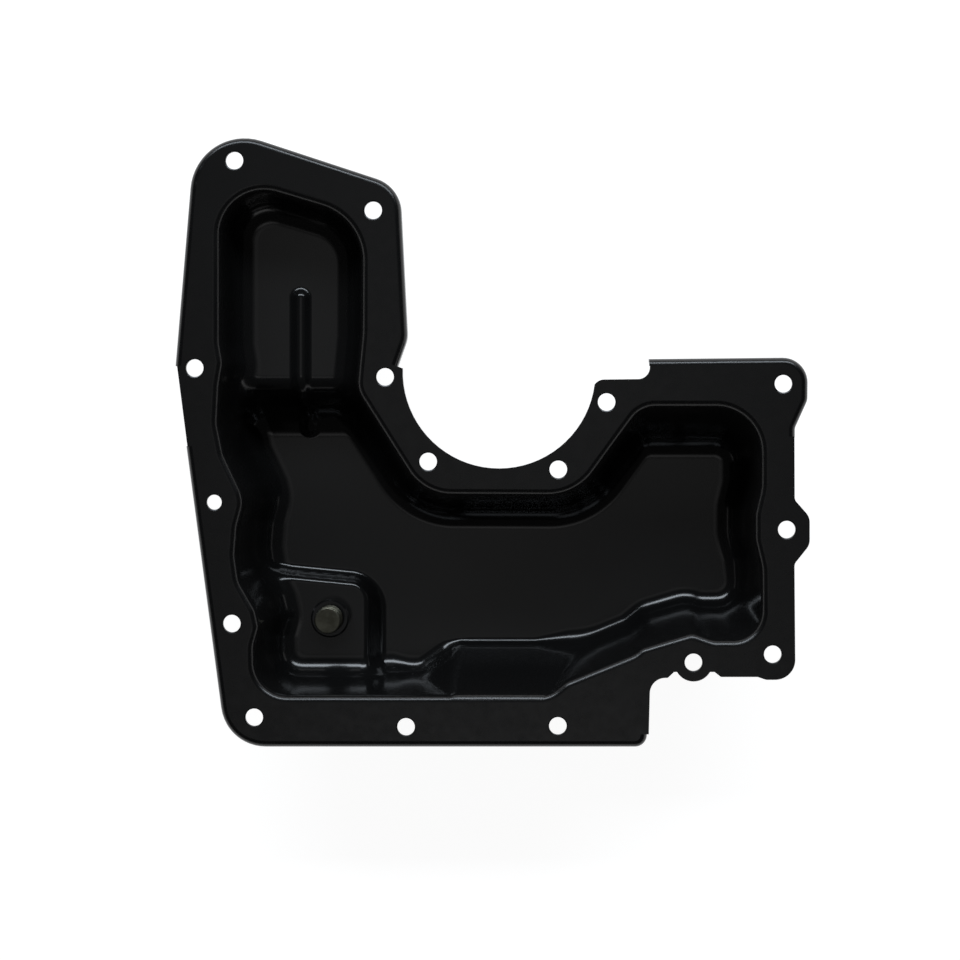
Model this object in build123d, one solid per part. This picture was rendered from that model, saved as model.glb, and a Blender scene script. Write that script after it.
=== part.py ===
"""Engine oil pan: one drawn sheet with a flange, turned-down lips and a stepped tub, and its drain plug.

Millimetres. X and Y lie in the flange, Z is up and the open side of the tub faces up. The origin is under
the middle of the pan, on the surface that its deep floor rests on.
"""

from build123d import *
from math import cos, hypot, radians, sqrt, tan
import os

# Sheet and overall sizes
sheet = 1.4
pan_height = 56.0
lobe_depth = 28.0
lip_height = 5.5
lip_bend = 3.0
lip_overlap = 0.3
rim_bend = 3.0
floor_radius = 4.0
foot_corner = 7.0

# Half-round clearance in the flange
cutout_x = 3.4
cutout_y = 29.6
cutout_radius = 40.5

# Flange screw holes and the round lug about one of them
screw_hole = 7.4
small_hole = 6.3
hole_roll_width = 0.45
hole_roll_depth = 0.2
lug_radius = 8.0

# Ramp between the shallow lobe and the deep floor
ramp_top_y = 23.0
ramp_angle = 70.0
ramp_top_radius = 6.0
ramp_foot_radius = 8.0
ramp_block_east = -20.0

# Stiffening bead on the lobe floor and the ramp
bead_x = -84.2
bead_start_y = 63.0
bead_radius = 3.6
bead_sink = 1.5
bead_foot_run = 7.0
bead_ball_extra = 0.2

# Raised pad for the drain plug
pad_rise = 10.0
pad_side_run = 5.7
pad_back_run = 3.0
pad_ridge_radius = 3.0
pad_back_y = -61.6
pad_back_slope = 0.098
pad_side_x = -51.4
pad_corner = 14.0

# Sill along the outer wall, with its slanted west end
sill_drop = 10.0
sill_run = 11.5
sill_crease_y = -106.1
sill_end_x = -17.0
sill_end_run = 21.0
sill_east_x = 48.0

# Drain plug, collar and washer
plug_x = -73.0
plug_y = -78.6
thread_size = 12.0
running_clearance = 0.05
hole_clearance = 0.4
collar_size = 17.0
collar_height = 6.5
collar_chamfer = 0.8
plug_past_pad = 14.5
plug_end_chamfer = 0.35
washer_size = 20.0
washer_thickness = 1.5
washer_edge = 0.3
head_flange_size = 20.0
head_flange_thickness = 2.0
head_flange_chamfer = 0.4
hex_across_flats = 17.0
hex_chamfer = 1.2
floor_clearance = 0.7

# How far blocks that only cut run past the tub, and the limits of the search for its hollow edges
beyond = 140.0
least_radius = 0.4
floor_lean = 0.27
least_crease = 12.0
probe = 0.1
same_level = 0.01

# Levels that follow from the sizes above
inner_floor = sheet
lobe_floor = pan_height - lobe_depth
pad_top = inner_floor + pad_rise
under_pad = pad_top - sheet
plate_under = pan_height - sheet
seated = (Align.CENTER, Align.CENTER, Align.MIN)

# Flange outline, clockwise: x, y, corner radius, and whether the edge that starts here has a turned-down lip
flange_corners = [
    (-133.1, 32.5, 0.0, True),
    (-124.4, 136.3, 23.0, True),
    (-38.4, 108.0, 15.0, True),
    (-35.2, 43.9, 12.0, True),
    (-39.4, 32.0, 0.0, False),
    (-37.2, 31.2, 0.0, False),
    (20.0, 20.0, 0.0, False),
    (42.6, 19.6, 0.0, False),
    (42.6, 26.4, 5.0, False),
    (66.8, 26.7, 5.0, False),
    (66.8, 35.2, 0.0, True),
    (133.6, 35.9, 10.5, True),
    (133.4, 17.8, 6.0, True),
    (128.1, 6.1, 4.0, True),
    (128.1, 2.5, 0.0, False),
    (127.5, 2.5, 0.0, False),
    (127.6, -24.1, 3.0, False),
    (133.9, -31.3, 6.0, False),
    (133.9, -43.0, 6.0, False),
    (127.5, -51.0, 3.0, False),
    (127.9, -99.7, 8.4, False),
    (115.5, -99.7, 4.0, False),
    (112.1, -98.5, 3.0, False),
    (96.6, -98.5, 0.8, False),
    (93.9, -96.4, 0.0, False),
    (76.9, -96.4, 0.0, False),
    (74.3, -98.9, 1.0, False),
    (66.9, -98.9, 6.5, False),
    (66.3, -122.6, 0.0, False),
    (65.7, -122.6, 0.0, True),
    (65.7, -128.3, 5.0, True),
    (-111.7, -128.3, 19.0, True),
    (-128.5, -1.9, 0.0, False),
    (-127.5, -1.77, 0.0, False),
    (-131.9, 32.4, 0.0, False),
]

# Top edge of the tub wall, clockwise: x, y, corner radius, and how far the wall that starts here leans in
# over the full depth
rim_corners = [
    (-114.2, 112.4, 18.5, 4.5),
    (-54.2, 94.4, 24.0, 9.5),
    (-54.4, 46.0, 20.0, 9.5),
    (-56.6, 22.5, 12.0, 10.5),
    (-28.5, -21.9, 22.0, 8.5),
    (35.8, -22.2, 24.0, 9.5),
    (63.2, 15.3, 10.0, 13.5),
    (113.6, 15.3, 19.0, 2.4),
    (113.6, -19.0, 20.0, 2.4),
    (111.0, -30.0, 12.0, 2.4),
    (111.0, -41.0, 12.0, 2.4),
    (113.8, -53.0, 20.0, 2.4),
    (114.0, -83.4, 12.0, 9.0),
    (93.5, -83.4, 8.0, 8.0),
    (84.8, -80.2, 5.0, 7.0),
    (63.5, -86.5, 6.0, 3.9),
    (60.5, -89.0, 6.0, 4.6),
    (31.4, -100.8, 10.0, 3.0),
    (24.5, -106.5, 8.0, 2.1),
    (-99.5, -106.5, 14.0, 3.5),
    (-99.9, -86.0, 8.0, 3.5),
    (-97.6, -77.8, 6.0, 3.5),
    (-99.2, -70.6, 8.0, 3.5),
    (-106.2, -58.5, 10.0, 3.5),
    (-107.7, -47.5, 14.0, 3.5),
    (-106.8, -35.5, 10.0, 3.5),
    (-104.1, -25.5, 6.0, 3.5),
    (-105.3, -20.5, 6.0, 3.5),
    (-112.6, -5.0, 12.0, 3.5),
    (-115.2, 8.0, 15.0, 3.5),
    (-114.4, 24.0, 8.0, 3.5),
    (-112.8, 33.6, 6.0, 3.5),
    (-114.2, 42.0, 8.0, 3.5),
]

# Screw holes: x and y, the one in the round lug and the small locating hole apart
screw_places = [
    (-107.8, 118.5),
    (-49.5, 97.6),
    (-124.5, 31.3),
    (-44.5, 27.6),
    (-26.4, -8.0),
    (28.3, -11.3),
    (48.6, 17.0),
    (122.9, 24.7),
    (124.3, -36.6),
    (118.4, -89.0),
    (-108.9, -76.1),
    (-99.5, -115.5),
    (-35.7, -119.5),
    (28.1, -119.1),
]
lug_place = (85.1, -92.4)
small_hole_place = (-116.3, -25.1)


def move_edges(points, shifts):
    """Move each edge of a clockwise polygon inwards by its own shift, and give the new corners."""
    lines = []
    for (x, y), (next_x, next_y), shift in zip(points, points[1:] + points[:1], shifts):
        length = hypot(next_x - x, next_y - y)
        along = ((next_x - x) / length, (next_y - y) / length)
        lines.append((x + shift * along[1], y - shift * along[0], along))
    corners = []
    for (x1, y1, a), (x2, y2, b) in zip(lines[-1:] + lines[:-1], lines):
        run = ((x2 - x1) * b[1] - (y2 - y1) * b[0]) / (a[0] * b[1] - a[1] * b[0])
        corners.append((x1 + run * a[0], y1 + run * a[1]))
    return corners


def turns_right(before, here, after):
    """Tell whether a clockwise polygon's corner points outwards."""
    cross = (here[0] - before[0]) * (after[1] - here[1]) - (here[1] - before[1]) * (after[0] - here[0])
    return cross < 0


def moved_radii(points, radii, shifts, least=least_radius):
    """Corner radii after the edges moved inwards: smaller at outward corners, larger at inward ones."""
    result = []
    for i, radius in enumerate(radii):
        shift = (shifts[i - 1] + shifts[i]) / 2
        outward = turns_right(points[i - 1], points[i], points[(i + 1) % len(points)])
        moved = max(radius - shift, least) if outward else max(radius + shift, least_radius)
        result.append(moved if radius else 0.0)
    return result


def rounded_outline(points, radii):
    """Edges of a closed polygon with rounded corners, in order: each corner's arc, then the line after it."""
    arcs = []
    for i, (x, y) in enumerate(points):
        before, after = points[i - 1], points[(i + 1) % len(points)]
        come = Vector(x - before[0], y - before[1]).normalized()
        go = Vector(after[0] - x, after[1] - y).normalized()
        half_turn = radians(come.get_angle(go)) / 2
        setback = radii[i] * tan(half_turn)
        corner = Vector(x, y)
        bulge = radii[i] * (1 / cos(half_turn) - 1)
        middle = corner + (go - come).normalized() * bulge
        arcs.append((corner - come * setback, middle, corner + go * setback))
    edges = []
    for (start, middle, end), following in zip(arcs, arcs[1:] + arcs[:1]):
        if start != end:
            edges.append(Edge.make_three_point_arc(start, middle, end))
        edges.append(Edge.make_line(end, following[0]))
    return edges


def rounded_face(points, radii, level):
    """A flat face at a level, bounded by a closed polygon with rounded corners."""
    return Pos(0, 0, level) * Face(Wire(rounded_outline(points, radii)))


def tub_wall(grow):
    """The tub without its steps: the inner skin for grow 0, the outer skin for grow equal to the sheet."""
    points = [(x, y) for x, y, radius, lean in rim_corners]
    radii = [radius for x, y, radius, lean in rim_corners]
    outwards = [-grow] * len(points)
    inwards = [lean - grow for x, y, radius, lean in rim_corners]
    top = rounded_face(move_edges(points, outwards), moved_radii(points, radii, outwards), pan_height)
    foot_radii = moved_radii(points, radii, inwards, foot_corner + grow)
    foot = rounded_face(move_edges(points, inwards), foot_radii, inner_floor - grow)
    return loft([foot, top], ruled=True)


def ramp_points(inset):
    """The top and the foot of the ramp, in Y and Z, moved into the block under it by an inset."""
    slope = radians(ramp_angle)
    slip = inset * tan(slope / 2)
    run = (lobe_floor - inner_floor) / tan(slope)
    return (ramp_top_y + slip, lobe_floor - inset), (ramp_top_y - run + slip, inner_floor - inset)


def ramp_block(grow):
    """The block under the shallow lobe, rounded along the top and the foot of the ramp."""
    top, foot = ramp_points(grow)
    points = [(-beyond, foot[1]), foot, top, (beyond, top[1]), (beyond, -beyond), (-beyond, -beyond)]
    radii = [0.0, ramp_foot_radius + grow, ramp_top_radius - grow, 0.0, 0.0, 0.0]
    side = Plane.YZ * Face(Wire(rounded_outline(points, radii)))
    return Pos(-beyond, 0, 0) * extrude(side, beyond + ramp_block_east, dir=(1, 0, 0))


def bead(grow):
    """The half-round bead along the lobe floor and down the ramp, with ball ends."""
    top, foot = ramp_points(bead_sink)
    reach = bead_radius - grow
    start = (bead_start_y, top[1])
    end = (foot[0] - bead_foot_run, foot[1])
    bends = [ramp_top_radius - bead_sink, ramp_foot_radius + bead_sink]
    path = Pos(bead_x, 0, 0) * (Plane.YZ * FilletPolyline(start, top, foot, end, radius=bends))
    section = Plane(origin=(bead_x, *start), z_dir=(0, -1, 0)) * Circle(reach)
    balls = [Pos(bead_x, *place) * Sphere(reach + bead_ball_extra) for place in (start, end)]
    return sweep(section, path=path) + balls


def pad_block(grow):
    """The raised drain pad, with its ridge rounded; it runs on into the walls on two sides."""
    west_y = pad_back_y + pad_back_slope * (beyond + pad_side_x)
    foot = [(-beyond, west_y), (pad_side_x, pad_back_y), (pad_side_x, -beyond), (-beyond, -beyond)]
    foot_shifts = [grow, grow, 0.0, 0.0]
    top_shifts = [pad_back_run + grow, pad_side_run + grow, 0.0, 0.0]
    top_level = pad_top - grow
    low = rounded_face(move_edges(foot, foot_shifts), [0.0, pad_corner - grow, 0.0, 0.0], inner_floor - grow)
    high = rounded_face(move_edges(foot, top_shifts), [0.0, pad_corner / 2 - grow, 0.0, 0.0], top_level)
    block = loft([low, high], ruled=True)
    ridge = block.edges().filter_by(lambda e: abs(e.center().Z - top_level) < same_level)
    ridge = ridge.filter_by(lambda e: e.center().X > 1 - beyond and e.center().Y > 1 - beyond)
    return fillet(ridge, pad_ridge_radius - grow)


def sill(grow):
    """The less steep stretch along the outer wall, cut off slantwise at its west end.

    Its slope runs on upwards behind the wall, so the two meet in one crease.
    """
    crease_z = pan_height - sill_drop
    foot_y = sill_crease_y + sill_run
    behind_y = sill_crease_y - sill_run / (crease_z - inner_floor) * sill_drop
    section = [(behind_y - grow, pan_height), (foot_y - grow, inner_floor - grow),
               (-beyond, inner_floor - grow), (-beyond, pan_height)]
    side = Plane.YZ * Face(Wire(rounded_outline(section, [0.0] * len(section))))
    west = Vector(sill_end_x - sill_end_run, sill_crease_y, inner_floor)
    east = Vector(sill_end_x, foot_y, inner_floor)
    high = Vector(sill_end_x, sill_crease_y, crease_z)
    bar = Pos(-beyond, 0, 0) * extrude(side, beyond + sill_east_x, dir=(1, 0, 0))
    slant = (high - west).cross(east - west).normalized()
    return split(bar, bisect_by=Plane(origin=west - slant * grow, z_dir=slant), keep=Keep.BOTTOM)


def meeting_faces(body):
    """Each edge of a body with the two faces that meet there."""
    faces_of = {}
    for face in body.faces():
        for edge in face.edges():
            faces_of.setdefault(edge, []).append(face)
    return {edge: faces for edge, faces in faces_of.items() if len(faces) == 2}


def hollow_edges(air):
    """Edges of the tub's air where a floor meets a wall or another floor in a hollow."""
    edges = ShapeList()
    for edge, (first, second) in meeting_faces(air).items():
        middle = edge @ 0.5
        out_1, out_2 = first.normal_at(middle), second.normal_at(middle)
        on_floor = min(out_1.Z, out_2.Z) < -floor_lean and middle.Z < plate_under - rim_bend
        in_air = air.is_inside(middle + out_1 * probe - out_2 * probe)
        if on_floor and not in_air and out_1.get_angle(out_2) > least_crease:
            edges.append(edge)
    return edges


def skin(grow):
    """The air inside the tub for grow 0; for grow equal to the sheet, all that its outer surface holds."""
    body = tub_wall(grow) - ramp_block(grow) - pad_block(grow) - sill(grow)
    return body.fillet(floor_radius + grow, hollow_edges(body)) - bead(grow)


def lip_section():
    """The bend and the lip in section, with their outer top corner at the origin and the lip hanging down."""
    ring = Circle(lip_bend) - Circle(lip_bend - sheet)
    bend = ring & Rectangle(lip_bend, lip_bend, align=(Align.MIN, Align.MIN))
    leg = Rectangle(sheet, lip_height - lip_bend, align=(Align.MAX, Align.MAX))
    return Pos(-lip_bend, -lip_bend) * (bend + Pos(lip_bend, 0) * leg)


def lip_stretches():
    """The runs of flange corners along which the edge is turned down."""
    count = len(flange_corners)
    runs = []
    for i, (x, y, radius, turned_down) in enumerate(flange_corners):
        if turned_down and not flange_corners[i - 1][3]:
            run = [i]
            while flange_corners[run[-1] % count][3]:
                run.append(run[-1] + 1)
            runs.append([flange_corners[j % count] for j in run])
    return runs


def lip(run):
    """One turned-down lip, swept along its stretch of the flange edge and a little past both ends of it."""
    corners = [Vector(x, y, pan_height) for x, y, radius, turned_down in run]
    radii = [radius for x, y, radius, turned_down in run]
    corners[0] += (corners[0] - corners[1]).normalized() * lip_overlap
    corners[-1] += (corners[-1] - corners[-2]).normalized() * lip_overlap
    along = (corners[1] - corners[0]).normalized()
    start = Plane(origin=corners[0], x_dir=(-along.Y, along.X, 0), z_dir=along)
    return sweep(start * lip_section(), path=FilletPolyline(*corners, radius=radii[1:-1]))


def flange():
    """The flange plate with its turned-down lips, the half-round clearance and the round lug."""
    points = [(x, y) for x, y, radius, turned_down in flange_corners]
    radii = [radius for x, y, radius, turned_down in flange_corners]
    shifts = [lip_bend if turned_down else 0.0 for x, y, radius, turned_down in flange_corners]
    face = rounded_face(move_edges(points, shifts), moved_radii(points, radii, shifts), pan_height)
    plate = extrude(face, sheet, dir=(0, 0, -1))
    plate += Pos(*lug_place, plate_under) * Cylinder(lug_radius, sheet, align=seated)
    for run in lip_stretches():
        plate += lip(run)
    clearance = Cylinder(cutout_radius, 2 * lip_height, align=seated)
    return plate - Pos(cutout_x, cutout_y, pan_height - lip_height) * clearance


def rim_edges(body, level):
    """Edges of the tub's mouth in the flat face of the flange at a level."""
    flats = body.faces().filter_by(Axis.Z).filter_by(lambda f: abs(f.center().Z - level) < same_level)
    mouths = [wire for face in flats for wire in face.inner_wires()]
    return max(mouths, key=lambda wire: wire.length).edges()


def screw_cuts():
    """Round cuts for all the holes of the flange, wider at the top, where the punch rolled the edge over."""
    places = [(place, screw_hole) for place in screw_places + [lug_place]] + [(small_hole_place, small_hole)]
    cuts = []
    for place, size in places:
        cuts.append(Pos(*place, plate_under) * Cylinder(size / 2, 2 * sheet))
        rolled = Cone(size / 2, size / 2 + hole_roll_width, hole_roll_depth, align=seated)
        cuts.append(Pos(*place, pan_height - hole_roll_depth) * rolled)
    return cuts


def oil_pan():
    """The whole stamping, bent round the rim of its tub and pierced for the screws and the drain."""
    pan = flange() + skin(sheet) - skin(0.0)
    pan = pan.fillet(rim_bend, rim_edges(pan, pan_height))
    pan = pan.fillet(rim_bend - sheet, rim_edges(pan, plate_under))
    drain = Cylinder(thread_size / 2 + hole_clearance, 2 * sheet, align=seated)
    return pan - screw_cuts() - Pos(plug_x, plug_y, under_pad - sheet / 2) * drain


def drain_nut():
    """The round threaded collar that is welded to the inside of the pad."""
    body = Cylinder(collar_size / 2, collar_height, align=seated)
    body = chamfer(body.edges().sort_by(Axis.Z)[-1], collar_chamfer)
    body -= Cylinder(thread_size / 2 + running_clearance, collar_height, align=seated)
    return Pos(plug_x, plug_y, pad_top) * body


def drain_gasket():
    """The flat sealing washer between the plug's head and the pad."""
    body = Cylinder(washer_size / 2, washer_thickness, align=seated)
    body = chamfer(body.edges().filter_by(GeomType.CIRCLE), washer_edge)
    body -= Cylinder(thread_size / 2 + hole_clearance, washer_thickness, align=seated)
    return Pos(plug_x, plug_y, under_pad - washer_thickness) * body


def drain_plug():
    """The plug: a plain-ended shank, a round head flange under the washer, and a hexagon below it."""
    seat = under_pad - washer_thickness
    shank = Cylinder(thread_size / 2, pad_top + plug_past_pad - seat, align=seated)
    shank = chamfer(shank.edges().sort_by(Axis.Z)[-1], plug_end_chamfer)
    head = Cylinder(head_flange_size / 2, head_flange_thickness, align=seated)
    head = Pos(0, 0, -head_flange_thickness) * head
    head = chamfer(head.edges().filter_by(GeomType.CIRCLE), head_flange_chamfer)
    hex_height = seat - head_flange_thickness - floor_clearance
    hexagon = extrude(RegularPolygon(hex_across_flats / 2, 6, major_radius=False), hex_height)
    turned = Cylinder(hex_across_flats / sqrt(3), hex_height, align=seated)
    turned = chamfer(turned.edges().sort_by(Axis.Z)[0], hex_chamfer)
    hexagon = Pos(0, 0, floor_clearance - seat) * (hexagon & turned)
    return Pos(plug_x, plug_y, seat) * (shank + head + hexagon)


os.makedirs("parts", exist_ok=True)
for piece in (oil_pan, drain_nut, drain_gasket, drain_plug):
    export_step(piece(), f"parts/{piece.__name__}.step")
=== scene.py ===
"""Engine oil pan, dressed and lit: black stamped steel with a plated plug in a welded collar.

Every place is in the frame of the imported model: X and Y lie in the flange, and Z points out of the
open side of the tub, towards the camera. Finishes and studio are in metres. The shapes of the pan
and of its plug are worked out in millimetres and made metres as they go into their meshes.
"""

import logging
import math
from dataclasses import dataclass, field
from enum import Enum

import bpy
import numpy as np
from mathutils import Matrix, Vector
from mathutils.geometry import delaunay_2d_cdt

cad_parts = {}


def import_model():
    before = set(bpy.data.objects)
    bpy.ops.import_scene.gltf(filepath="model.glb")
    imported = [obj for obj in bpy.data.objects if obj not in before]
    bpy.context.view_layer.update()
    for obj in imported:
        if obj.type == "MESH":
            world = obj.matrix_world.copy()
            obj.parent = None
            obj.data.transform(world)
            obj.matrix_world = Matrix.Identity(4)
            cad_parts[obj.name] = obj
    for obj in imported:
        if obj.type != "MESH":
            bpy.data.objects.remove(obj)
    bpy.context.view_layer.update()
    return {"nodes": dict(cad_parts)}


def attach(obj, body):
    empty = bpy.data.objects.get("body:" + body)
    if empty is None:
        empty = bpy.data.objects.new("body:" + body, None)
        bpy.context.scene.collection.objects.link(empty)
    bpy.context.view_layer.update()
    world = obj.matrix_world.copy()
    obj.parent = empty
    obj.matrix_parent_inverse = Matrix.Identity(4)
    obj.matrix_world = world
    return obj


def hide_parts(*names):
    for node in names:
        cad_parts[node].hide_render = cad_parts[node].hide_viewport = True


log = logging.getLogger("oil_pan")

MM = 0.001
SAME_PLACE = 0.001 * MM
FAR_AWAY = 1e6
NEARLY_ZERO = 1e-6
HALVINGS = 26


class Operation(Enum):
    """The sums that a Math node does here."""

    ADD = "ADD"
    SUBTRACT = "SUBTRACT"
    MULTIPLY = "MULTIPLY"
    DIVIDE = "DIVIDE"
    LARGER = "MAXIMUM"


class Sock:
    """One output of a shader graph, with the arithmetic of plain numbers."""

    def __init__(self, graph: "Graph", socket: bpy.types.NodeSocket) -> None:
        """Keep the socket and the graph that it belongs to."""
        self.graph = graph
        self.socket = socket

    def _math(self, operation: Operation, *values: "Sock | float") -> "Sock":
        """Work out one Math node.

        Args:
            operation: what the node does.
            values: its inputs, in order.
        Returns:
            The node's result.
        """
        return self.graph.add("ShaderNodeMath", dict(enumerate(values)), operation=operation.value)

    def __add__(self, other: "Sock | float") -> "Sock":
        """Give the sum."""
        return self._math(Operation.ADD, self, other)

    __radd__ = __add__

    def __sub__(self, other: "Sock | float") -> "Sock":
        """Give the difference."""
        return self._math(Operation.SUBTRACT, self, other)

    def __rsub__(self, other: float) -> "Sock":
        """Give a number less this socket."""
        return self._math(Operation.SUBTRACT, other, self)

    def __mul__(self, other: "Sock | float") -> "Sock":
        """Give the product."""
        return self._math(Operation.MULTIPLY, self, other)

    __rmul__ = __mul__

    def __truediv__(self, other: "Sock | float") -> "Sock":
        """Give the quotient."""
        return self._math(Operation.DIVIDE, self, other)

    def __rtruediv__(self, other: float) -> "Sock":
        """Give a number over this socket."""
        return self._math(Operation.DIVIDE, other, self)

    def most(self, other: "Sock | float") -> "Sock":
        """Give the larger of two."""
        return self._math(Operation.LARGER, self, other)

    def step(self, start: float, end: float, low: float = 0.0, high: float = 1.0) -> "Sock":
        """Go smoothly from one value to another while this socket goes from start to end.

        Args:
            start, end: where the change starts and ends.
            low, high: the values before and after it.
        Returns:
            low + (high - low) t^2 (3 - 2 t), with t the clamped share of the way.
        """
        values = {"Value": self, "From Min": start, "From Max": end, "To Min": low, "To Max": high}
        return self.graph.add("ShaderNodeMapRange", values, interpolation_type="SMOOTHSTEP")


class Graph:
    """A node tree that is written as formulas."""

    def __init__(self, tree: bpy.types.NodeTree) -> None:
        """Start from an empty tree."""
        tree.nodes.clear()
        self.tree = tree

    def node(self, kind: str, values: dict | None = None, **settings: object) -> bpy.types.Node:
        """Add one node.

        Args:
            kind: the node's type name.
            values: numbers, colours or sockets by input name or place.
            settings: the node's own settings, set before its inputs.
        Returns:
            The new node.
        """
        made = self.tree.nodes.new(kind)
        for name, value in settings.items():
            setattr(made, name, value)
        for name, value in (values or {}).items():
            target = made.inputs[name]
            if isinstance(value, Sock):
                self.tree.links.new(value.socket, target)
            else:
                target.default_value = value
        return made

    def add(self, kind: str, values: dict | None = None, out: int | str = 0,
            **settings: object) -> Sock:
        """Add one node and give one of its outputs."""
        return Sock(self, self.node(kind, values, **settings).outputs[out])

    def place(self) -> Sock:
        """Give the object coordinates in metres."""
        return self.add("ShaderNodeTexCoord", out="Object")

    def parts(self, vector: Sock) -> list[Sock]:
        """Give a vector's X, Y and Z."""
        split = self.node("ShaderNodeSeparateXYZ", {0: vector})
        return [Sock(self, output) for output in split.outputs]

    def noise(self, point: Sock, grain: float, detail: float = 2.0, roughness: float = 0.5) -> Sock:
        """Give soft noise from 0 to 1 whose grains are about as large as stated, in metres."""
        values = {"Vector": point, "Scale": 1.0 / grain, "Detail": detail, "Roughness": roughness}
        return self.add("ShaderNodeTexNoise", values, out="Fac")

    def blend(self, share: Sock, first: tuple | Sock, second: tuple | Sock) -> Sock:
        """Mix two colours.

        Args:
            share: how much of the second colour there is.
            first, second: the colours, as sockets or as red, green and blue.
        Returns:
            The mixed colour.
        """
        made = self.node("ShaderNodeMix", data_type="RGBA")
        for name, value in zip(("Factor_Float", "A_Color", "B_Color"), (share, first, second)):
            target = next(s for s in made.inputs if s.identifier == name)
            if isinstance(value, Sock):
                self.tree.links.new(value.socket, target)
            else:
                target.default_value = (*value, 1.0)
        return Sock(self, next(s for s in made.outputs if s.identifier == "Result_Color"))

    def surface(self, shader: Sock) -> None:
        """End the tree in this shader."""
        self.node("ShaderNodeOutputMaterial", {"Surface": shader})


def new_material(name: str) -> tuple[bpy.types.Material, Graph]:
    """Make an empty material.

    Args:
        name: the material's name.
    Returns:
        The material, and the graph that fills it.
    """
    material = bpy.data.materials.new(name)
    material.use_nodes = True
    return material, Graph(material.node_tree)


@dataclass(frozen=True)
class BlackPaint:
    """Gloss black stoving paint: a faintly rippled film, duller and thinner on the flange."""

    colour: tuple[float, float, float] = (0.0080, 0.0080, 0.0081)
    thin_colour: tuple[float, float, float] = (0.0026, 0.0026, 0.0028)
    gloss: float = 0.16
    flange_gloss: float = 0.26
    flange_level: float = 55.2 * MM
    flange_fade: float = 1.0 * MM
    thin_band: tuple[float, float] = (0.3, 0.7)
    thin_share: tuple[float, float] = (0.7, 1.0)
    ripple: float = 3.2 * MM
    ripple_height: float = 0.001 * MM
    speck: float = 0.9 * MM
    speck_share: float = 0.35
    cloud: float = 26.0 * MM
    cloud_share: float = 0.06
    mottle: float = 5.0 * MM
    mottle_share: float = 0.16
    index: float = 1.5

    def build(self) -> bpy.types.Material:
        """Build the paint.

        Returns:
            The material. Its roughness, tone and ripple follow soft noise, and on the flange they
            have values of their own.
        """
        material, g = new_material("black_paint")
        point = g.place()
        height = g.parts(point)[2]
        cloud = g.noise(point, self.cloud, 3.0)
        mottle = g.noise(point, self.mottle, 3.0, 0.6)
        flange = height.step(self.flange_level - self.flange_fade, self.flange_level)
        rough = flange * (self.flange_gloss - self.gloss) + self.gloss
        rough = rough + (cloud - 0.5) * self.cloud_share
        rough = rough + (mottle - 0.5) * flange * self.mottle_share
        relief = g.noise(point, self.ripple, 1.0)
        relief = relief + g.noise(point, self.speck, 2.0) * flange * self.speck_share
        bump = {"Height": relief, "Distance": self.ripple_height, "Strength": 1.0}
        thin = flange * mottle.step(*self.thin_band, *self.thin_share)
        colour = g.blend(thin, self.colour, self.thin_colour)
        g.surface(g.add("ShaderNodeBsdfPrincipled", {
            "Base Color": colour, "Roughness": rough, "IOR": self.index,
            "Normal": g.add("ShaderNodeBump", bump),
        }))
        return material


@dataclass(frozen=True)
class PlatedSteel:
    """Zinc plated steel: a metal whose tone and roughness drift in soft clouds and fine grains."""

    name: str
    colour: tuple[float, float, float]
    dark: tuple[float, float, float]
    rough: float
    metallic: float = 1.0
    cloud: float = 4.0 * MM
    cloud_share: float = 0.2
    tone_band: tuple[float, float] = (0.3, 0.7)
    grain: float = 0.35 * MM
    grain_share: float = 0.15
    grain_height: float = 0.006 * MM

    def build(self) -> bpy.types.Material:
        """Build the plating.

        Returns:
            The material.
        """
        material, g = new_material(self.name)
        point = g.place()
        cloud = g.noise(point, self.cloud, 3.0)
        grains = g.noise(point, self.grain, 3.0, 0.6)
        rough = (cloud - 0.5) * self.cloud_share + (grains - 0.5) * self.grain_share + self.rough
        bump = {"Height": grains, "Distance": self.grain_height, "Strength": 1.0}
        g.surface(g.add("ShaderNodeBsdfPrincipled", {
            "Base Color": g.blend(cloud.step(*self.tone_band), self.dark, self.colour),
            "Roughness": rough, "Metallic": self.metallic,
            "Normal": g.add("ShaderNodeBump", bump),
        }))
        return material


def rounded_ridge(a: np.ndarray, b: np.ndarray, radius: float) -> np.ndarray:
    """Signed distance to what two solids share, with the ridge between their faces rounded.

    Args:
        a, b: signed distances, negative inside each solid.
        radius: radius of the ridge.
    Returns:
        min(-r, max(a, b)) + |(max(a + r, 0), max(b + r, 0))|.
    """
    inner = np.minimum(-radius, np.maximum(a, b))
    return inner + np.hypot(np.maximum(a + radius, 0.0), np.maximum(b + radius, 0.0))


def rounded_hollow(a: np.ndarray, b: np.ndarray, radius: float | np.ndarray) -> np.ndarray:
    """Signed distance to two solids together, with the hollow between their faces rounded.

    Args:
        a, b: signed distances, negative inside each solid.
        radius: radius of the hollow.
    Returns:
        max(r, min(a, b)) - |(max(r - a, 0), max(r - b, 0))|.
    """
    outer = np.maximum(radius, np.minimum(a, b))
    return outer - np.hypot(np.maximum(radius - a, 0.0), np.maximum(radius - b, 0.0))


def soft_least(a: np.ndarray, b: np.ndarray, width: np.ndarray) -> np.ndarray:
    """Give the smaller of two values, blended where they lie close together.

    Args:
        a, b: the values.
        width: the difference below which they blend.
    Returns:
        min(a, b) - w h^2 / 4, with h the share of the width w by which |a - b| is smaller than it.
    """
    width = np.maximum(width, NEARLY_ZERO)
    near = np.maximum(width - np.abs(a - b), 0.0) / width
    return np.minimum(a, b) - width * near * near / 4.0


def soft_step(value: np.ndarray, start: float, end: float) -> np.ndarray:
    """Go from 0 at start to 1 at end along t^2 (3 - 2 t)."""
    t = np.clip((value - start) / (end - start), 0.0, 1.0)
    return t * t * (3.0 - 2.0 * t)


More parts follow.
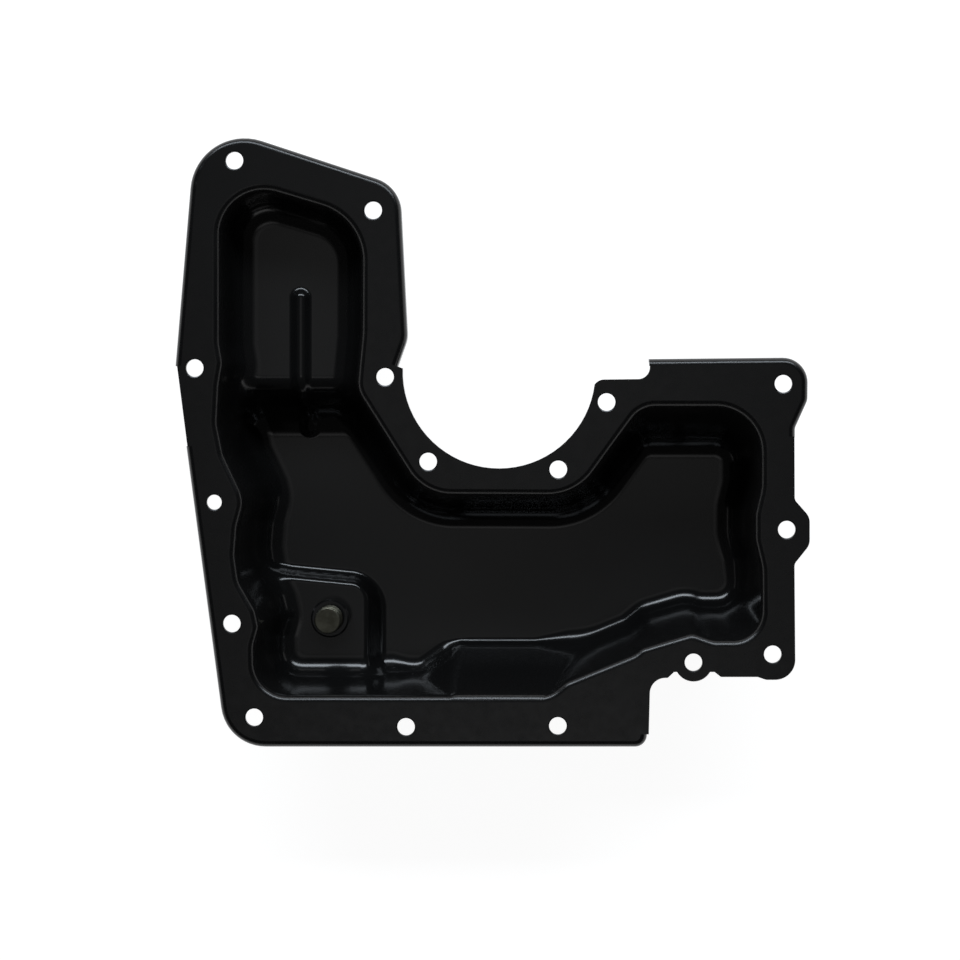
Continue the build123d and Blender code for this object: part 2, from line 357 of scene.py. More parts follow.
class Outline:
    """A closed clockwise polygon with rounded corners, measured by signed distance in its plane."""

    def __init__(self, corners: np.ndarray, radii: np.ndarray) -> None:
        """Work out each corner's arc and the line that leaves it.

        Args:
            corners: x and y of each corner, clockwise.
            radii: each corner's radius.
        """
        come = corners - np.roll(corners, 1, axis=0)
        self.come = come / np.linalg.norm(come, axis=1, keepdims=True)
        self.go = np.roll(self.come, -1, axis=0)
        turn = self.come[:, 0] * self.go[:, 1] - self.come[:, 1] * self.go[:, 0]
        self.side = np.where(turn < 0.0, 1.0, -1.0)
        self.turn = np.arccos(np.clip((self.come * self.go).sum(axis=1), -1.0, 1.0))
        setback = (radii * np.tan(self.turn / 2.0))[:, None]
        self.radii = radii
        self.enter = corners - self.come * setback
        self.leave = corners + self.go * setback
        self.length = np.linalg.norm(np.roll(self.enter, -1, axis=0) - self.leave, axis=1)
        self.centre = self.enter + self.right(self.come) * (self.side * radii)[:, None]

    @staticmethod
    def right(way: np.ndarray) -> np.ndarray:
        """Give the directions a quarter turn to the right of these."""
        return np.stack([way[:, 1], -way[:, 0]], axis=1)

    def distance(self, x: np.ndarray, y: np.ndarray) -> np.ndarray:
        """Measure how far inside the outline points lie.

        Args:
            x, y: the points.
        Returns:
            The distance to the nearest line or arc, negative outside.
        """
        best = np.full(x.shape, FAR_AWAY)
        for i in range(len(self.radii)):
            dx, dy = x - self.leave[i, 0], y - self.leave[i, 1]
            along = dx * self.go[i, 0] + dy * self.go[i, 1]
            away = dx * self.go[i, 1] - dy * self.go[i, 0]
            found = (along >= 0.0) & (along <= self.length[i]) & (np.abs(away) < np.abs(best))
            best = np.where(found, away, best)
            dx, dy = x - self.centre[i, 0], y - self.centre[i, 1]
            away = self.side[i] * (self.radii[i] - np.hypot(dx, dy))
            past = dx * self.come[i, 0] + dy * self.come[i, 1] >= 0.0
            short = dx * self.go[i, 0] + dy * self.go[i, 1] <= 0.0
            best = np.where(past & short & (np.abs(away) < np.abs(best)), away, best)
        return best

    def stations(self, step: float, fewest: int) -> tuple[np.ndarray, np.ndarray]:
        """Space points along the outline.

        Args:
            step: spacing along the lines.
            fewest: least number of steps round an arc.
        Returns:
            The points, and the directions straight inwards at them.
        """
        points, ways = [], []
        right = self.right(self.go)
        for i in range(len(self.radii)):
            count = max(fewest, int(self.turn[i] * self.radii[i] / step))
            angle = np.linspace(0.0, self.turn[i], count + 1)[:, None]
            start = -self.side[i] * self.right(self.come)[i]
            out = start * np.cos(angle) + self.come[i] * np.sin(angle)
            points.append(self.centre[i] + out * self.radii[i])
            ways.append(-self.side[i] * out)
            count = max(1, round(self.length[i] / step))
            share = np.linspace(0.0, 1.0, count + 1)[1:-1, None]
            points.append(self.leave[i] + share * self.length[i] * self.go[i])
            ways.append(np.broadcast_to(right[i], (len(share), 2)))
        return np.concatenate(points), np.concatenate(ways)


@dataclass(frozen=True)
class TubShape:
    """The open side of the drawn tub as one smooth skin, in millimetres.

    It keeps close to the solids' sizes and has rounder hollows, as drawn sheet has where it was
    stretched over the punch. Each corner of the mouth is given as X, Y, its radius and the lean of
    the wall that leaves it. The hollow along the outer wall's foot is given by X.
    """

    height: float = 56.0
    floor: float = 1.4
    lobe_floor: float = 28.0
    rim_bend: float = 3.0
    hollow: float = 9.5
    outer_start: float = 45.0
    outer_end: float = 70.0
    outer_hollows: tuple[tuple[float, float], ...] = (
        (-46.0, 9.5), (-34.0, 5.5), (-23.0, 5.5), (-14.0, 3.0), (18.0, 3.0), (34.0, 7.0),
        (90.0, 7.0),
    )
    least_corner: float = 12.0
    ramp_top_y: float = 23.0
    ramp_east_x: float = -24.0
    ramp_angle: float = math.radians(70.0)
    ramp_top_radius: float = 6.0
    ramp_foot_radius: float = 11.0
    bead_x: float = -84.2
    bead_start_y: float = 63.0
    bead_end_y: float = 6.4
    bead_radius: float = 3.7
    bead_sink: float = 1.5
    bead_hollow: float = 1.6
    pad_top: float = 11.4
    pad_back_y: float = -61.6
    pad_back_slope: float = 0.098
    pad_side_x: float = -51.4
    pad_back_run: float = 3.0
    pad_side_run: float = 5.7
    pad_lean: float = 0.92
    pad_corner: float = 14.0
    pad_ridge: float = 1.8
    pad_hollow: float = 2.2
    sill_foot_y: float = -91.6
    sill_top_y: float = -106.5
    sill_end_x: float = -17.0
    sill_end_run: float = 21.0
    sill_east_x: float = 48.0
    sill_ridge: float = 1.5
    sill_blend: float = 3.0
    rim: tuple[tuple[float, float, float, float], ...] = (
        (-114.2, 112.4, 18.5, 4.5), (-54.2, 94.4, 24.0, 9.5), (-54.4, 46.0, 20.0, 9.5),
        (-56.6, 22.5, 12.0, 10.5), (-28.5, -21.9, 22.0, 8.5), (35.8, -22.2, 24.0, 9.5),
        (63.2, 15.3, 10.0, 13.5), (113.6, 15.3, 19.0, 2.4), (113.6, -19.0, 20.0, 2.4),
        (111.0, -30.0, 12.0, 2.4), (111.0, -41.0, 12.0, 2.4), (113.8, -53.0, 20.0, 2.4),
        (114.0, -83.4, 12.0, 9.0), (93.5, -83.4, 8.0, 8.0), (84.8, -80.2, 5.0, 7.0),
        (63.5, -86.5, 6.0, 3.9), (60.5, -89.0, 6.0, 4.6), (31.4, -100.8, 10.0, 3.0),
        (24.5, -106.5, 8.0, 2.1), (-99.5, -106.5, 14.0, 3.5), (-99.9, -86.0, 8.0, 3.5),
        (-97.6, -77.8, 6.0, 3.5), (-99.2, -70.6, 8.0, 3.5), (-106.2, -58.5, 10.0, 3.5),
        (-107.7, -47.5, 14.0, 3.5), (-106.8, -35.5, 10.0, 3.5), (-104.1, -25.5, 11.0, 3.5),
        (-105.3, -20.5, 11.0, 3.5), (-112.6, -5.0, 12.0, 3.5), (-115.2, 8.0, 15.0, 3.5),
        (-114.4, 24.0, 8.0, 3.5), (-112.8, 33.6, 6.0, 3.5), (-114.2, 42.0, 8.0, 3.5),
    )

    def outlines(self) -> tuple[Outline, Outline]:
        """Work out the tub's two outlines.

        Returns:
            The outline of the mouth, and that of the foot, drawn in by each wall's lean.
        """
        table = np.array(self.rim)
        corners, radii, leans = table[:, :2], table[:, 2], table[:, 3]
        way = np.roll(corners, -1, axis=0) - corners
        way /= np.linalg.norm(way, axis=1, keepdims=True)
        start = corners + Outline.right(way) * leans[:, None]
        before, come = np.roll(start, 1, axis=0), np.roll(way, 1, axis=0)
        gap = start - before
        cross = come[:, 0] * way[:, 1] - come[:, 1] * way[:, 0]
        run = (gap[:, 0] * way[:, 1] - gap[:, 1] * way[:, 0]) / cross
        moved = before + come * run[:, None]
        shift = (leans + np.roll(leans, 1)) / 2.0
        outward = cross < 0.0
        foot_radii = np.where(outward, np.maximum(radii - shift, self.least_corner), radii + shift)
        radii = np.where(outward, np.maximum(radii, self.least_corner), radii)
        return Outline(corners, radii), Outline(moved, foot_radii)


class TubSkin:
    """The skin of a tub over given places, in millimetres: distances, heights and slopes."""

    def __init__(self, shape: TubShape, x: np.ndarray, y: np.ndarray) -> None:
        """Measure the places against the outlines once, whatever heights are asked for.

        Args:
            shape: the tub.
            x, y: the places.
        """
        self.shape, self.x, self.y = shape, x, y
        mouth, foot = shape.outlines()
        self.mouth = mouth.distance(x, y)
        self.foot = foot.distance(x, y)

    def wall(self, z: np.ndarray) -> np.ndarray:
        """Measure from the wall and the flange, with the rim's bend between them.

        Args:
            z: the height of each place. There the wall stands between the outlines of mouth and
                foot, in the share of the depth.
        Returns:
            The distances, negative inside the metal.
        """
        s = self.shape
        share = (s.height - z) / (s.height - s.floor)
        inner = (1.0 - share) * self.mouth + share * self.foot
        inner = soft_least(inner, self.sill(z), s.sill_blend * np.clip(share, 0.0, 1.0))
        return rounded_ridge(z - s.height, inner, s.rim_bend)

    def ramp(self, z: np.ndarray) -> np.ndarray:
        """Measure from the deep floor, the ramp and the shallow lobe's floor.

        Args:
            z: the height of each place.
        Returns:
            The distances, negative inside the metal.
        """
        s = self.shape
        slope = (s.ramp_top_y - self.y) * math.sin(s.ramp_angle)
        slope = slope + (z - s.lobe_floor) * math.cos(s.ramp_angle)
        slope = np.maximum(slope, self.x - s.ramp_east_x)
        block = rounded_ridge(slope, z - s.lobe_floor, s.ramp_top_radius)
        return rounded_hollow(z - s.floor, block, s.ramp_foot_radius)

    def bead(self, ground: np.ndarray) -> np.ndarray:
        """Measure from the half-round bead.

        Args:
            ground: the distances from the ground that it follows, with its axis sunk in it.
        Returns:
            The distances, negative inside the metal.
        """
        s = self.shape
        past = np.maximum(self.y - s.bead_start_y, 0.0) + np.maximum(s.bead_end_y - self.y, 0.0)
        level = np.hypot(self.x - s.bead_x, past)
        return np.hypot(level, ground + s.bead_sink) - s.bead_radius

    def pad(self, z: np.ndarray) -> np.ndarray:
        """Measure from the raised pad under the drain plug.

        Args:
            z: the height of each place.
        Returns:
            The distances, negative inside the metal.
        """
        s = self.shape
        rise = (z - s.floor) / (s.pad_top - s.floor)
        edge_y = s.pad_back_y + s.pad_back_slope * (s.pad_side_x - self.x)
        back = (self.y - edge_y) / math.hypot(1.0, s.pad_back_slope) + s.pad_back_run * rise
        side = self.x - s.pad_side_x + s.pad_side_run * rise
        corner = s.pad_corner * (1.0 - rise / 2.0)
        sides = rounded_ridge(back, side, corner) * s.pad_lean
        return rounded_ridge(sides, z - s.pad_top, s.pad_ridge)

    def sill(self, z: np.ndarray) -> np.ndarray:
        """Measure from the sloping sill along the outer wall, and from the facet at its end.

        Args:
            z: the height of each place.
        Returns:
            The distances, negative inside the metal.
        """
        s = self.shape
        run, fall = s.sill_foot_y - s.sill_top_y, s.height - s.floor
        slope = ((self.y - s.sill_foot_y) * fall + (z - s.floor) * run) / math.hypot(run, fall)
        west = np.array([s.sill_end_x - s.sill_end_run, s.sill_top_y, s.floor])
        east = np.array([s.sill_end_x, s.sill_foot_y, s.floor])
        high = np.array([s.sill_end_x, s.sill_top_y, s.height])
        normal = np.cross(high - west, east - west)
        normal /= np.linalg.norm(normal)
        end = (self.x - west[0]) * normal[0] + (self.y - west[1]) * normal[1]
        end = end + (z - west[2]) * normal[2]
        return np.maximum(rounded_ridge(slope, end, s.sill_ridge), self.x - s.sill_east_x)

    def distance(self, z: np.ndarray) -> np.ndarray:
        """Measure from the skin.

        Args:
            z: the height of each place.
        Returns:
            The distances, negative inside the metal and positive in the air.
        """
        s = self.shape
        ground = self.ramp(z)
        ground = rounded_hollow(ground, self.bead(ground), s.bead_hollow)
        ground = rounded_hollow(ground, self.pad(z), s.pad_hollow)
        stops = np.array(s.outer_hollows)
        along = np.interp(self.x, stops[:, 0], stops[:, 1])
        radius = s.hollow + soft_step(-self.y, s.outer_start, s.outer_end) * (along - s.hollow)
        return rounded_hollow(self.wall(z), ground, radius)

    def height(self) -> np.ndarray:
        """Find the skin over each place by halving the range of heights in which it lies.

        Returns:
            Its heights.
        """
        low = np.full(self.x.shape, self.shape.floor - 1.0)
        high = np.full(self.x.shape, self.shape.height + 1.0)
        for _ in range(HALVINGS):
            middle = (low + high) / 2.0
            inside = self.distance(middle) < 0.0
            low = np.where(inside, middle, low)
            high = np.where(inside, high, middle)
        return (low + high) / 2.0

    def normals(self, z: np.ndarray, reach: float = 0.02) -> np.ndarray:
        """Work out the skin's outward direction at each place: the slope of its signed distance.

        Args:
            z: the skin's height at each place.
            reach: how far to both sides the slope is taken.
        Returns:
            Directions of length 1.
        """
        def along(dx: float, dy: float, dz: float) -> np.ndarray:
            """Give the change of the distance over this step both ways."""
            ahead = TubSkin(self.shape, self.x + dx, self.y + dy).distance(z + dz)
            return ahead - TubSkin(self.shape, self.x - dx, self.y - dy).distance(z - dz)

        slope = np.stack([along(reach, 0, 0), along(0, reach, 0), along(0, 0, reach)], axis=1)
        return slope / np.linalg.norm(slope, axis=1, keepdims=True)


def node_triangles(node: bpy.types.Object) -> tuple[np.ndarray, np.ndarray, np.ndarray]:
    """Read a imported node's mesh of triangles.

    Args:
        node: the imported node.
    Returns:
        Its points, the direction at each triangle corner, and each triangle's corners.
    """
    data = node.data
    points = np.empty(len(data.vertices) * 3)
    data.vertices.foreach_get("co", points)
    corners = np.empty(len(data.loops), dtype=np.int64)
    data.loops.foreach_get("vertex_index", corners)
    normals = np.empty(len(data.loops) * 3)
    data.corner_normals.foreach_get("vector", normals)
    return points.reshape(-1, 3), normals.reshape(-1, 3, 3), corners.reshape(-1, 3)


def merged_triangles(points: np.ndarray, normals: np.ndarray, faces: np.ndarray,
                     kept: np.ndarray) -> tuple[np.ndarray, np.ndarray, np.ndarray]:
    """Keep some triangles, with their coinciding points made one.

    Args:
        points, normals, faces: the mesh, as node_triangles gives it.
        kept: which triangles stay.
    Returns:
        The same three of the triangles that stay, without points that nothing uses.
    """
    cells = np.round(points / SAME_PLACE)
    _, first, merged = np.unique(cells, axis=0, return_index=True, return_inverse=True)
    faces = merged.reshape(-1)[faces[kept]]
    whole = (faces != np.roll(faces, -1, axis=1)).all(axis=1)
    used, faces = np.unique(faces[whole], return_inverse=True)
    return points[first][used], normals[kept][whole], faces.reshape(-1, 3)


@dataclass
class PanSheet:
    """The stamped sheet, in millimetres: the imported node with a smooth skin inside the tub.

    The skin's points lie in rings along the mouth, at these distances inwards, and on a grid over
    the floors, which starts where the foot's outline is ring_reach away.
    """

    shape: TubShape = field(default_factory=TubShape)
    station_step: float = 1.1
    arc_steps: int = 9
    rings: tuple[float, ...] = (
        -3.3, -3.0, -2.5, -2.0, -1.55, -1.15, -0.8, -0.5, -0.27, -0.1, 0.0, 0.15, 0.4, 0.7, 1.0,
        1.35, 1.75, 2.2, 2.7, 3.25, 3.85, 4.45, 5.05, 5.7, 6.35, 7.0, 7.65, 8.3, 8.95, 9.6,
        10.25, 10.9, 11.5, 12.1, 12.7, 13.3, 13.9, 14.5, 15.1, 15.7, 16.3, 16.9, 17.6, 18.3,
        19.0, 19.8, 20.6, 21.5, 22.5, 23.5,
    )
    ring_reach: float = 11.0
    grid_gap: float = 0.3
    grid_x: tuple[float, float] = (-120.0, 118.0)
    grid_y: tuple[float, float] = (-110.0, 116.0)
    fine: float = 0.6
    coarse_every: int = 4
    least_bend: float = 0.004
    tuck: float = 0.03
    own_gap: float = 1e-4
    weld: float = 1e-5
    edge_gap: float = 0.01
    least_up: float = 0.01

    def ring_points(self) -> np.ndarray:
        """Set points in rings along the mouth of the tub, to where its hollow meets the floor.

        Returns:
            The points, without those that lie nearer to another stretch of the mouth's outline.
        """
        mouth, foot = self.shape.outlines()
        points, ways = mouth.stations(self.station_step, self.arc_steps)
        every = (points[None] + ways[None] * np.array(self.rings)[:, None, None]).reshape(-1, 2)
        inset = np.repeat(np.array(self.rings), len(points))
        own = np.abs(mouth.distance(every[:, 0], every[:, 1]) - inset) < self.own_gap
        near = foot.distance(every[:, 0], every[:, 1]) < self.ring_reach
        return every[own & near]

    def grid_points(self) -> np.ndarray:
        """Set points over the floors.

        Returns:
            The points, closely spaced where the skin bends and widely where it is flat.
        """
        across, along = np.arange(*self.grid_x, self.fine), np.arange(*self.grid_y, self.fine)
        x, y = np.meshgrid(across, along, indexing="ij")
        skin = TubSkin(self.shape, x.ravel(), y.ravel())
        z = skin.height().reshape(x.shape)
        bend = np.zeros(x.shape)
        for axis in (0, 1):
            change = np.abs(np.diff(z, 2, axis=axis))
            pad = [(1, 1) if i == axis else (0, 0) for i in (0, 1)]
            bend = np.maximum(bend, np.pad(change, pad))
        bent = bend > self.least_bend
        for axis in (0, 1):
            bent = bent | np.roll(bent, 1, axis=axis) | np.roll(bent, -1, axis=axis)
        rows, columns = np.indices(x.shape)
        coarse = (rows % self.coarse_every == 0) & (columns % self.coarse_every == 0)
        inner = skin.foot.reshape(x.shape) > self.ring_reach + self.grid_gap
        chosen = inner & (coarse | bent)
        return np.stack([x[chosen], y[chosen]], axis=1)

    def skin_mesh(self) -> tuple[np.ndarray, np.ndarray, np.ndarray]:
        """Join the points into triangles as seen from above, and lift them onto the skin.

        Returns:
            Points and outward directions in metres, and the corners of each triangle.
        """
        plan = np.concatenate([self.ring_points(), self.grid_points()])
        made = delaunay_2d_cdt(list(map(Vector, plan)), [], [], 0, self.weld)
        plan = np.array(made[0])[:, :2]
        faces = np.array(made[2])
        mouth, _ = self.shape.outlines()
        middle = plan[faces].mean(axis=1)
        inset = mouth.distance(middle[:, 0], middle[:, 1])
        faces = faces[inset > self.rings[0] - self.edge_gap]
        skin = TubSkin(self.shape, plan[:, 0], plan[:, 1])
        z = skin.height()
        normals = skin.normals(z)
        z = z - self.tuck * soft_step(-skin.mouth, self.shape.rim_bend, -self.rings[0])
        a, b, c = (plan[faces[:, i]] for i in range(3))
        turn = (b - a)[:, 0] * (c - a)[:, 1] - (b - a)[:, 1] * (c - a)[:, 0]
        faces = np.where((turn < 0.0)[:, None], faces[:, ::-1], faces)
        log.info("tub skin: %d points, %d triangles", len(plan), len(faces))
        return np.column_stack([plan, z]) * MM, normals, faces

    def kept_mesh(self, node: bpy.types.Object) -> tuple[np.ndarray, np.ndarray, np.ndarray]:
        """Take the flange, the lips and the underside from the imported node.

        Args:
            node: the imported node.
        Returns:
            Points, the direction at each triangle corner, and the corners of each triangle, for all
            the node's triangles but those inside the mouth of the tub that face upwards.
        """
        points, normals, faces = node_triangles(node)
        middle = points[faces].mean(axis=1) / MM
        mouth, _ = self.shape.outlines()
        inset = mouth.distance(middle[:, 0], middle[:, 1])
        inside = inset > -self.shape.rim_bend + self.edge_gap
        upward = normals[:, :, 2].mean(axis=1) > self.least_up
        return merged_triangles(points, normals, faces, ~(inside & upward))

    def build(self, node: bpy.types.Object, finish: bpy.types.Material) -> bpy.types.Object:
        """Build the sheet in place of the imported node.

        Args:
            node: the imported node.
            finish: the paint.
        Returns:
            The new object, which rides on the pan's body.
        """
        points, corner_normals, faces = self.kept_mesh(node)
        skin_points, skin_normals, skin_faces = self.skin_mesh()
        every = np.concatenate([faces, skin_faces + len(points)])
        data = bpy.data.meshes.new("pan_sheet")
        data.from_pydata(np.concatenate([points, skin_points]), [], every)
        data.shade_smooth()
        normals = np.concatenate([corner_normals, skin_normals[skin_faces]])
        data.normals_split_custom_set(normals.reshape(-1, 3))
        data.materials.append(finish)
        sheet = bpy.data.objects.new("pan_sheet", data)
        bpy.context.scene.collection.objects.link(sheet)
        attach(sheet, "pan")
        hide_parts("oil_pan")
        log.info("pan sheet: %d triangles", len(every))
        return sheet


@dataclass
class ThreadedPlug:
    """The drain plug, in millimetres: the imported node's head, and a shank with a real thread."""

    x: float = -73.0
    y: float = -78.6
    seat: float = 8.5
    end: float = 25.9
    radius: float = 5.98
    depth: float = 0.68
    pitch: float = 1.25
    end_chamfer: float = 0.55
    end_inset: float = 0.25
    run_in: float = 1.3
    around: int = 96
    rows_per_pitch: int = 12
    clear: float = 0.05
    crest_half: float = 1.0 / 16.0
    root_half: float = 1.0 / 8.0
    tip_steps: tuple[float, ...] = (0.0, 0.25, 0.5, 0.8, 1.0)
    flat_steps: tuple[float, ...] = (0.97, 0.7, 0.4)

    def profile(self, share: np.ndarray) -> np.ndarray:
        """Work out how deep the thread is cut.

        Args:
            share: the share of a pitch, from crest to crest.
        Returns:
            The share of the full depth: a V of 60 degrees, with an eighth of the pitch left flat at
            its crest and a quarter at its root.
        """
        from_crest = np.abs((share + 0.5) % 1.0 - 0.5)
        flank = 0.5 - self.crest_half - self.root_half
        return np.clip((from_crest - self.crest_half) / flank, 0.0, 1.0)

    def shank(self) -> tuple[np.ndarray, np.ndarray]:
        """Turn the thread about the plug's axis.

        Returns:
            The points, and the corners of each triangle: rows of points round the axis, whose
            radius follows the profile of height over pitch less angle over a full turn, and a
            middle point on the end.
        """
        shoulder = self.end - self.end_chamfer
        rows = int((shoulder - self.seat) / self.pitch * self.rows_per_pitch)
        z = np.linspace(self.seat, shoulder, rows)
        turn = np.linspace(0.0, 1.0, self.around, endpoint=False)
        level, angle = np.meshgrid(z, turn, indexing="ij")
        cut = self.profile(level / self.pitch - angle) * self.depth
        faded = np.clip((shoulder - level) / self.run_in, 0.0, 1.0)
        radius = self.radius - cut * faded - self.end_inset * (1.0 - faded)
        tip = np.array(self.tip_steps)
        drawn_in = self.end_chamfer * (1.0 - np.sqrt(1.0 - tip ** 2))
        tip_radius = self.radius - self.end_inset - drawn_in
        tip_level = self.end - self.end_chamfer * (1.0 - tip)
        flat = np.array(self.flat_steps) * tip_radius[-1]
        radius = np.concatenate([radius, np.repeat(tip_radius[:, None], self.around, 1),
                                 np.repeat(flat[:, None], self.around, 1)])
        level = np.concatenate([level, np.repeat(tip_level[:, None], self.around, 1),
                                np.full((len(flat), self.around), self.end)])
        angle = 2.0 * np.pi * turn[None]
        x, y = self.x + radius * np.cos(angle), self.y + radius * np.sin(angle)
        points = np.stack([x, y, level], axis=2)
        count = len(level)
        first = np.arange((count - 1) * self.around)
        side = first // self.around * self.around + (first + 1) % self.around
        walls = np.concatenate([np.stack([first, side, side + self.around], 1),
                                np.stack([first, side + self.around, first + self.around], 1)])
        last = (count - 1) * self.around + np.arange(self.around)
        cap = np.stack([last, np.roll(last, -1), np.full(self.around, count * self.around)], 1)
        middle = np.array([[self.x, self.y, self.end]])
        return np.concatenate([points.reshape(-1, 3), middle]) * MM, np.concatenate([walls, cap])

    def build(self, node: bpy.types.Object, finish: bpy.types.Material) -> bpy.types.Object:
        """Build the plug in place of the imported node, whose triangles round the shank it keeps.

        Args:
            node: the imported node.
            finish: the plating.
        Returns:
            The new object, which rides on the plug's body.
        """
        points, normals, faces = node_triangles(node)
        middle = points[faces].mean(axis=1) / MM
        outer = np.hypot(middle[:, 0] - self.x, middle[:, 1] - self.y) > self.radius + self.clear
        below = middle[:, 2] < self.seat - self.clear
        points, normals, faces = merged_triangles(points, normals, faces, outer | below)
        new_points, new_faces = self.shank()
        every = np.concatenate([faces, new_faces + len(points)])
        data = bpy.data.meshes.new("threaded_plug")
        data.from_pydata(np.concatenate([points, new_points]), [], every)
        data.shade_smooth()
        data.update()
        own = np.empty(len(data.loops) * 3)
        data.corner_normals.foreach_get("vector", own)
        own = own.reshape(-1, 3)
        own[:len(faces) * 3] = normals.reshape(-1, 3)
        data.normals_split_custom_set(own)
        data.materials.append(finish)
        plug = bpy.data.objects.new("threaded_plug", data)
        bpy.context.scene.collection.objects.link(plug)
        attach(plug, "plug")
        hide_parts("drain_plug")
        log.info("plug: %d triangles", len(data.polygons))
        return plug


@dataclass
class Camera:
    """The camera above the open pan, looking straight down at it."""

    axis_x: float = 22.7 * MM
    axis_y: float = 5.25 * MM
    height: float = 706.0 * MM
    lens: float = 58.03
    image: float = 960.0
    axis_px: tuple[float, float] = (545.0, 430.0)
    sensor: float = 36.0
    clip: tuple[float, float] = (0.01, 20.0)

    def build(self) -> bpy.types.Object:
        """Make the camera and look through it.

        Returns:
            The camera.
        """
        data = bpy.data.cameras.new("camera")
        data.lens = self.lens
        data.sensor_width = self.sensor
        data.shift_x = (self.image / 2 - self.axis_px[0]) / self.image
        data.shift_y = (self.axis_px[1] - self.image / 2) / self.image
        data.clip_start, data.clip_end = self.clip
        camera = bpy.data.objects.new("camera", data)
        camera.location = (self.axis_x, self.axis_y, self.height)
        bpy.context.scene.collection.objects.link(camera)
        bpy.context.scene.camera = camera
        return camera


@dataclass
class SoftBox:
    """One soft rectangular lamp that points at the middle of the pan."""

    name: str
    place: tuple[float, float, float]
    size: tuple[float, float]
    power: float
    colour: tuple[float, float, float]

    def build(self) -> bpy.types.Object:
        """Hang the lamp.

        Returns:
            The lamp.
        """
        data = bpy.data.lights.new(self.name, "AREA")
        data.shape = "RECTANGLE"
        data.size, data.size_y = self.size
        data.energy = self.power
        data.color = self.colour
        lamp = bpy.data.objects.new(self.name, data)
        lamp.location = self.place
        lamp.rotation_mode = "QUATERNION"
        lamp.rotation_quaternion = (-Vector(self.place)).to_track_quat("-Z", "Y")
        bpy.context.scene.collection.objects.link(lamp)
        return lamp


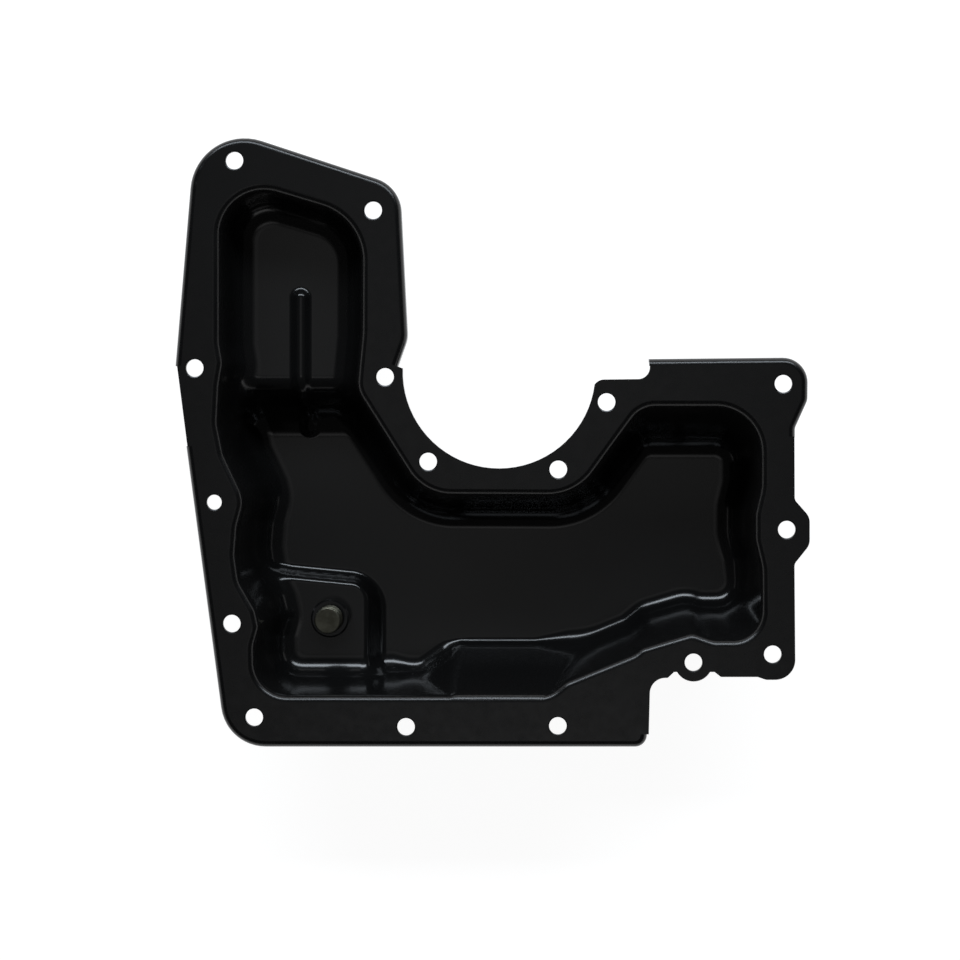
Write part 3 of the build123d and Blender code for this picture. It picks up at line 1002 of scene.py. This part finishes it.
@dataclass
class Studio:
    """A white table in a plain room, with a long soft box beyond the far edge of the pan.

    The room's tones go by direction. Each band says where one tone has gone over into the next, by
    the direction's own Z for the horizon and the ring, and by its lean from straight up, along X or
    Y, for the panel, the spot and the pale edge overhead.
    """

    floor_half: float = 3.0
    floor_drop: float = 0.4 * MM
    floor_colour: float = 0.9
    floor_glow: float = 1.5
    floor_share: float = 0.62
    room: float = 1.0
    horizon_band: tuple[float, float] = (0.12, 0.36)
    dark_ring: float = 0.03
    ring_band: tuple[float, float] = (0.92, 0.98)
    ceiling_far: float = 0.26
    ceiling_edge: float = 0.60
    ceiling_near: float = 0.13
    ceiling_spot: float = 0.11
    panel_near: tuple[float, float] = (-0.055, -0.03)
    panel_far: tuple[float, float] = (0.155, 0.20)
    panel_left: tuple[float, float] = (-0.235, -0.19)
    panel_right: tuple[float, float] = (0.115, 0.16)
    spot_place: tuple[float, float] = (-0.05, -0.085)
    spot_size: tuple[float, float] = (0.07, 0.05)
    spot_fade: float = 1.6
    least_up: float = 0.05
    edge_band: tuple[float, float] = (-0.22, -0.15)
    boxes: list[SoftBox] = field(default_factory=lambda: [
        SoftBox("strip_light", (0.0, 1.10, 0.95), (1.9, 0.30), 16.0, (0.84, 0.92, 1.0)),
    ])

    def build_floor(self) -> bpy.types.Object:
        """Lay the white table, which keeps the pan's shadow.

        Returns:
            The table. It glows for the camera and in reflections alone.
        """
        half = self.floor_half
        corners = [(-half, -half), (half, -half), (half, half), (-half, half)]
        data = bpy.data.meshes.new("floor")
        data.from_pydata([(x, y, -self.floor_drop) for x, y in corners], [], [(0, 1, 2, 3)])
        floor = bpy.data.objects.new("floor", data)
        bpy.context.scene.collection.objects.link(floor)
        material, g = new_material("white_table")
        path = g.node("ShaderNodeLightPath")
        seen = Sock(g, path.outputs["Is Camera Ray"])
        for kind in ("Is Glossy Ray", "Is Transmission Ray"):
            seen = seen.most(Sock(g, path.outputs[kind]))
        matt = g.add("ShaderNodeBsdfDiffuse", {"Color": (*(self.floor_colour,) * 3, 1.0)})
        glow = g.add("ShaderNodeEmission", {"Color": (1, 1, 1, 1), "Strength": self.floor_glow})
        g.surface(g.add("ShaderNodeMixShader", {0: seen * self.floor_share, 1: matt, 2: glow}))
        data.materials.append(material)
        return floor

    def build_room(self) -> None:
        """Make the room: white at the horizon, dark above it, and a pale panel overhead."""
        world = bpy.data.worlds.new("room")
        world.use_nodes = True
        bpy.context.scene.world = world
        g = Graph(world.node_tree)
        across, along, up = g.parts(g.add("ShaderNodeTexCoord", out="Generated"))
        height = up.most(self.least_up)
        lean_x, lean_y = across / height, along / height
        far = lean_y.step(*self.panel_near) * lean_y.step(*self.panel_far, 1.0, 0.0)
        far = far * lean_x.step(*self.panel_left) * lean_x.step(*self.panel_right, 1.0, 0.0)
        far = far * (self.ceiling_far - self.ceiling_near) + self.ceiling_near
        spot_x = (lean_x - self.spot_place[0]) / self.spot_size[0]
        spot_y = (lean_y - self.spot_place[1]) / self.spot_size[1]
        spot = (spot_x * spot_x + spot_y * spot_y).step(0.0, self.spot_fade, self.ceiling_spot, 0.0)
        near = lean_y.step(*self.edge_band, self.ceiling_edge - self.ceiling_near, 0.0)
        ceiling = far + spot + near
        ring = up.step(*self.ring_band)
        horizon = up.step(*self.horizon_band, self.room - self.dark_ring, 0.0)
        grey = ring * (ceiling - self.dark_ring) + self.dark_ring + horizon
        colour = g.add("ShaderNodeCombineColor", {0: grey, 1: grey, 2: grey})
        back = g.node("ShaderNodeBackground", {"Color": colour})
        g.node("ShaderNodeOutputWorld", {"Surface": Sock(g, back.outputs[0])})

    def build(self) -> None:
        """Build the table, the room and the lamps."""
        self.build_floor()
        self.build_room()
        for box in self.boxes:
            box.build()


def dress(node: bpy.types.Object, material: bpy.types.Material) -> None:
    """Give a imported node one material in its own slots.

    Args:
        node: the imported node.
        material: the material.
    """
    if not node.data.materials:
        node.data.materials.append(material)
    for i in range(len(node.data.materials)):
        node.data.materials[i] = material


OLIVE_PLATING = PlatedSteel(
    name="olive_plating", colour=(0.17, 0.165, 0.13), dark=(0.10, 0.0975, 0.075), rough=0.42,
)
WASHER_METAL = PlatedSteel(
    name="washer_metal", colour=(0.80, 0.80, 0.81), dark=(0.62, 0.62, 0.63), rough=0.4,
)


def main() -> None:
    """Build the part and the studio, and report each piece."""
    logging.basicConfig(level=logging.INFO, format="%(name)s: %(message)s")
    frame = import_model()
    bpy.context.scene.view_settings.view_transform = "Standard"
    paint = BlackPaint().build()
    plug = OLIVE_PLATING.build()
    washer = WASHER_METAL.build()
    PanSheet().build(frame["nodes"]["oil_pan"], paint)
    ThreadedPlug().build(frame["nodes"]["drain_plug"], plug)
    for name, material in (("drain_nut", paint), ("drain_gasket", washer)):
        dress(frame["nodes"][name], material)
        log.info("dressed %s", name)
    Studio().build()
    Camera().build()


if __name__ == "__main__":
    main()
